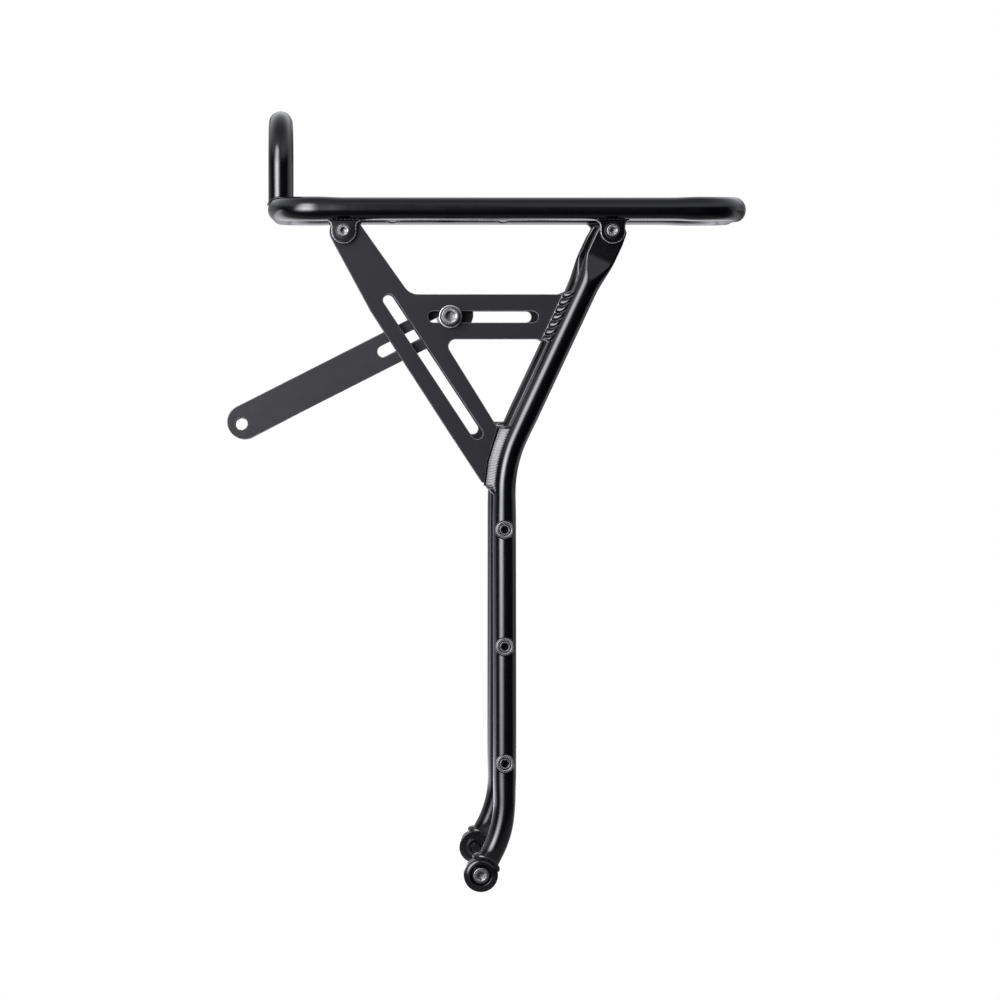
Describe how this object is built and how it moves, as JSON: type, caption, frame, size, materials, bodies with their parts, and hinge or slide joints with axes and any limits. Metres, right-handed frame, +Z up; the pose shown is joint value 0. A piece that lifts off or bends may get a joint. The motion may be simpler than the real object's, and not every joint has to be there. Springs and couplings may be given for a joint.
{
  "type": "rear bicycle rack",
  "caption": "Compact rear bicycle rack: tube deck with a low front hoop, two bent legs with slotted side plates and an adjustable flat stay on each side.",
  "frame": {"origin": "on the axis of the two foot screws, midway between the feet", "axes": "+X to the rear of the bicycle, +Y to its right-hand side, +Z up"},
  "size_m": [0.2891, 0.17, 0.4294],
  "materials": {
    "tube_black": "satin black powder coat",
    "fitting_black": "satin black powder coat",
    "plate_black": "matt black powder coat",
    "weld_black": "satin black over a rippled weld",
    "screw_steel": "plain stainless steel",
    "nut_steel": "plain stainless steel",
    "washer_steel": "plain stainless steel",
    "washer_black": "black oxide"
  },
  "bodies": {
    "rack_frame": {"deck_hoop": "tube_black", "front_hoop": "tube_black", "cross_tube_front": "tube_black", "cross_tube_middle": "tube_black", "cross_tube_rear": "tube_black", "deck_tabs": "fitting_black", "tab_screws": "screw_steel", "tab_washers": "washer_black", "tab_nuts": "nut_steel", "foot_screws": "screw_steel", "leg_left": "tube_black", "foot_boss_left": "fitting_black", "leg_bosses_left": "fitting_black", "side_plate_left": "plate_black", "plate_welds_left": "weld_black", "leg_right": "tube_black", "foot_boss_right": "fitting_black", "leg_bosses_right": "fitting_black", "side_plate_right": "plate_black", "plate_welds_right": "weld_black"},
    "clamp_left": {"clamp_screw_left": "screw_steel", "clamp_washer_left": "washer_steel", "stay_inner_washer_left": "washer_steel", "clamp_nut_left": "nut_steel"},
    "swivel_left": {"stay_spacer_left": "fitting_black"},
    "stay_left": {"stay_left": "plate_black"},
    "clamp_right": {"clamp_screw_right": "screw_steel", "clamp_washer_right": "washer_steel", "stay_inner_washer_right": "washer_steel", "clamp_nut_right": "nut_steel"},
    "swivel_right": {"stay_spacer_right": "fitting_black"},
    "stay_right": {"stay_right": "plate_black"}
  },
  "joints": [
    {"name": "clamp_slide_left", "type": "slide", "parent": "rack_frame", "child": "clamp_left", "axis": [1, 0, 0], "range_m": [-0.009, 0.045]},
    {"name": "stay_swivel_left", "type": "hinge", "parent": "clamp_left", "child": "swivel_left", "pos_m": [-0.0164, -0.06226, 0.30534], "axis": [0, 0.9988, -0.0482], "range_deg": [-30, 40]},
    {"name": "stay_extend_left", "type": "slide", "parent": "swivel_left", "child": "stay_left", "axis": [-0.8918, -0.0218, -0.4519], "range_m": [-0.0413, 0.0038]},
    {"name": "clamp_slide_right", "type": "slide", "parent": "rack_frame", "child": "clamp_right", "axis": [1, 0, 0], "range_m": [-0.009, 0.045]},
    {"name": "stay_swivel_right", "type": "hinge", "parent": "clamp_right", "child": "swivel_right", "pos_m": [-0.0164, 0.06226, 0.30534], "axis": [0, 0.9988, 0.0482], "range_deg": [-30, 40]},
    {"name": "stay_extend_right", "type": "slide", "parent": "swivel_right", "child": "stay_right", "axis": [-0.887, 0.0223, -0.4612], "range_m": [-0.0447, 0.0004]}
  ]
}
